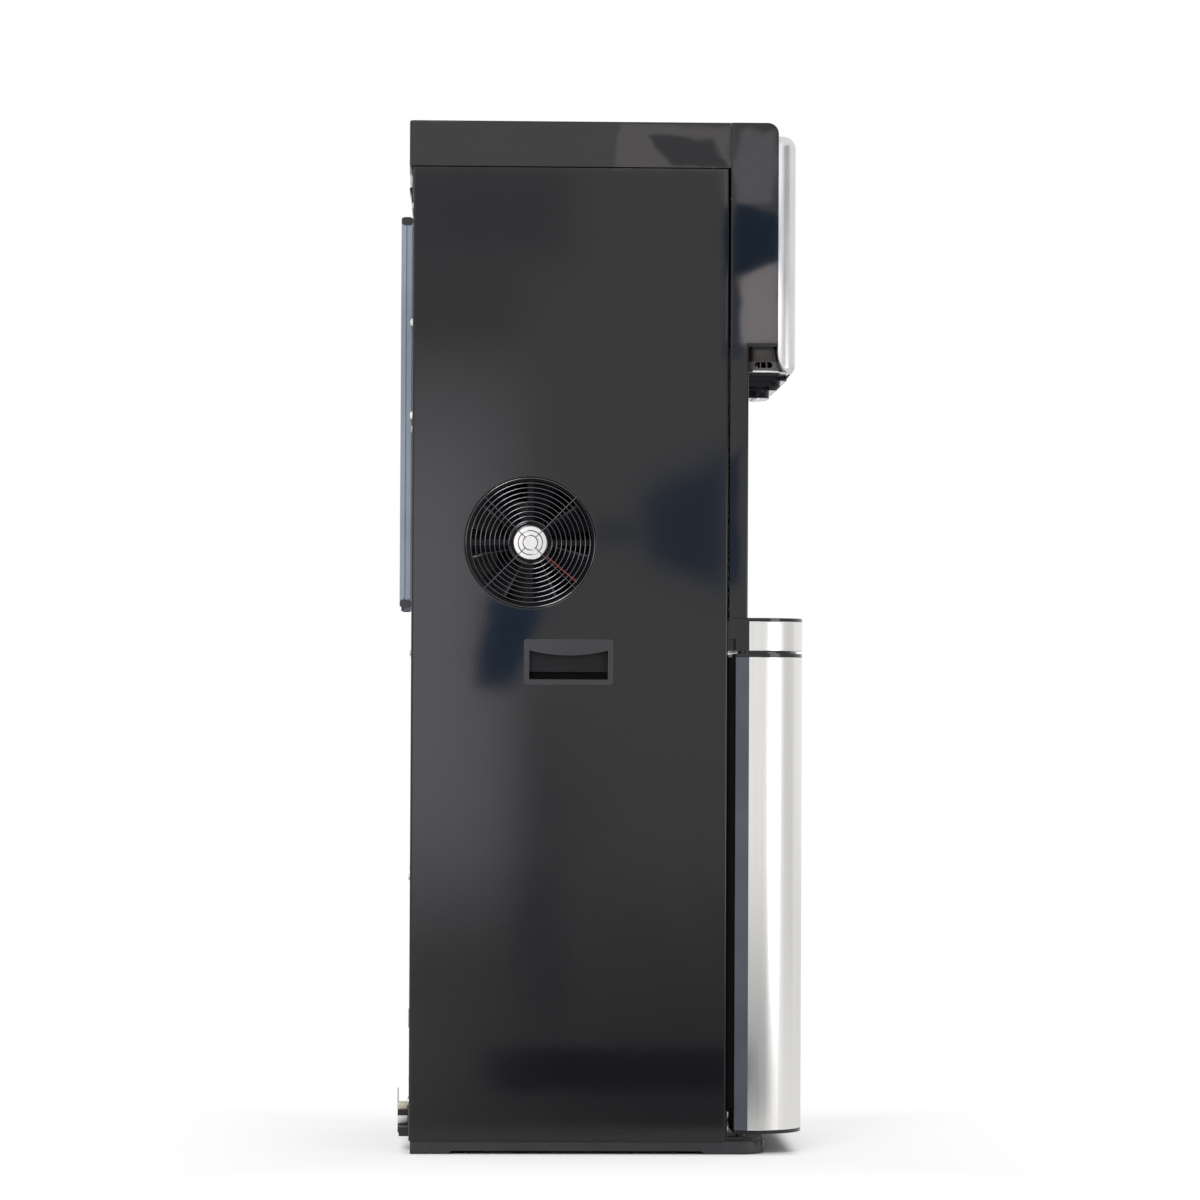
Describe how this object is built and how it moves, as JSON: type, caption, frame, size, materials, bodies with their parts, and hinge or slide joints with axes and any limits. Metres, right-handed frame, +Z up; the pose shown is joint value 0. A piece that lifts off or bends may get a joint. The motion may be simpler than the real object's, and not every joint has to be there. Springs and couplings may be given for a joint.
{
  "type": "bottom-loading water dispenser",
  "caption": "Floor-standing bottom-loading water dispenser with a bowed steel door, glass alcove, drip tray, side fan and rear condenser.",
  "frame": {"origin": "on the floor under the middle of the overall footprint", "axes": "+Z up, the door and alcove face -Y, the fan side is -X and the condenser is on +Y"},
  "size_m": [0.3116, 0.4114, 1.04],
  "materials": {
    "black_painted_steel": "satin",
    "grey_painted_steel": "matt",
    "gloss_black_moulding": "gloss",
    "dark_grey_moulding": "satin",
    "silver_moulding": "metallic satin",
    "brushed_steel": "brushed",
    "bright_trim": "bright",
    "white_liner": "satin",
    "button_moulding": "satin",
    "lamp_lens": "clear",
    "board_laminate": "satin",
    "tray_moulding": "satin",
    "grille_steel": "satin",
    "plated_steel": "zinc plated",
    "guard_wire": "satin",
    "fan_moulding": "matt",
    "red_lead": "satin",
    "condenser_steel": "satin",
    "compressor_black": "satin",
    "grommet_rubber": "matt",
    "seal_foam": "matt",
    "foam": "matt",
    "tank_steel": "satin",
    "works_white": "satin",
    "probe_white": "satin",
    "rocker_red": "gloss",
    "rocker_green": "gloss",
    "rocker_black": "gloss",
    "cap_cream": "satin",
    "cap_white": "satin",
    "outlet_black": "satin"
  },
  "bodies": {
    "cabinet": {"left_side_panel": "black_painted_steel", "right_side_panel": "black_painted_steel", "back_panel": "grey_painted_steel", "bay_deck": "grey_painted_steel", "tank_shelf": "grey_painted_steel", "probe_hook": "grey_painted_steel", "top_cover": "gloss_black_moulding", "front_frame": "gloss_black_moulding", "drip_shelf": "gloss_black_moulding", "control_panel": "gloss_black_moulding", "nozzle_hood": "gloss_black_moulding", "base_plinth": "dark_grey_moulding", "handle_cup_left": "dark_grey_moulding", "handle_cup_right": "dark_grey_moulding", "nozzle_block": "dark_grey_moulding", "switch_bezel": "dark_grey_moulding", "cord_gland": "dark_grey_moulding", "catch_magnet": "dark_grey_moulding", "head_front_cover": "silver_moulding", "shelf_band": "brushed_steel", "hood_trim": "bright_trim", "water_spouts": "bright_trim", "alcove_liner": "white_liner", "indicator_lenses": "lamp_lens", "control_board": "board_laminate", "hinge_bracket": "plated_steel", "hinge_pins": "plated_steel", "cabinet_screws": "plated_steel", "fan_guard": "guard_wire", "fan_frame": "fan_moulding", "fan_lead": "red_lead", "condenser_tube": "condenser_steel", "condenser_wires": "condenser_steel", "condenser_rails": "condenser_steel", "compressor": "compressor_black", "compressor_grommets": "grommet_rubber", "tank_jacket": "foam", "cold_tank": "tank_steel", "hot_tank": "tank_steel", "water_pump": "works_white", "dispensing_valves": "works_white", "power_box": "works_white", "drain_outlets": "outlet_black"},
    "door": {"door_frame": "gloss_black_moulding", "door_skin": "brushed_steel", "door_caps": "gloss_black_moulding", "door_strike": "bright_trim", "door_seals": "seal_foam"},
    "rotor": {"fan_rotor": "fan_moulding"},
    "tray": {"drip_tray": "tray_moulding"},
    "grille": {"drip_grille": "grille_steel"},
    "hot_key": {"hot_button": "button_moulding"},
    "room_key": {"room_button": "button_moulding"},
    "cold_key": {"cold_button": "button_moulding"},
    "hot_switch": {"hot_rocker": "rocker_red"},
    "cold_switch": {"cold_rocker": "rocker_green"},
    "light_switch": {"light_rocker": "rocker_black"},
    "hot_cap": {"hot_drain_cap": "cap_cream"},
    "cold_cap": {"cold_drain_cap": "cap_white"},
    "probe": {"bottle_probe": "probe_white"}
  },
  "joints": [
    {"name": "door_hinge", "type": "hinge", "parent": "cabinet", "child": "door", "pos_m": [-0.145, -0.14046, 0.26], "axis": [0, 0, -1], "range_deg": [0, 110]},
    {"name": "rotor_spin", "type": "hinge", "parent": "cabinet", "child": "rotor", "pos_m": [-0.13, 0.07409, 0.6146], "axis": [1, 0, 0], "continuous": true},
    {"name": "tray_lift", "type": "slide", "parent": "cabinet", "child": "tray", "axis": [0, 0, 1], "range_m": [0, 0.08]},
    {"name": "grille_lift", "type": "slide", "parent": "tray", "child": "grille", "axis": [0, 0, 1], "range_m": [0, 0.05]},
    {"name": "hot_press", "type": "slide", "parent": "cabinet", "child": "hot_key", "axis": [0, 1, 0], "range_m": [0, 0.002], "stiffness_N_per_m": 400},
    {"name": "room_press", "type": "slide", "parent": "cabinet", "child": "room_key", "axis": [0, 1, 0], "range_m": [0, 0.002], "stiffness_N_per_m": 400},
    {"name": "cold_press", "type": "slide", "parent": "cabinet", "child": "cold_key", "axis": [0, 1, 0], "range_m": [0, 0.002], "stiffness_N_per_m": 400},
    {"name": "hot_rock", "type": "hinge", "parent": "cabinet", "child": "hot_switch", "pos_m": [0.024, 0.19259, 0.976], "axis": [1, 0, 0], "range_deg": [0, 16]},
    {"name": "cold_rock", "type": "hinge", "parent": "cabinet", "child": "cold_switch", "pos_m": [0, 0.19259, 0.976], "axis": [1, 0, 0], "range_deg": [0, 16]},
    {"name": "light_rock", "type": "hinge", "parent": "cabinet", "child": "light_switch", "pos_m": [-0.024, 0.19259, 0.976], "axis": [1, 0, 0], "range_deg": [0, 16]},
    {"name": "hot_cap_pull", "type": "slide", "parent": "cabinet", "child": "hot_cap", "axis": [0, 1, 0], "range_m": [0, 0.025]},
    {"name": "cold_cap_pull", "type": "slide", "parent": "cabinet", "child": "cold_cap", "axis": [0, 1, 0], "range_m": [0, 0.025]},
    {"name": "probe_unhook", "type": "slide", "parent": "cabinet", "child": "probe", "axis": [0, -1, 0], "range_m": [0, 0.08]}
  ]
}
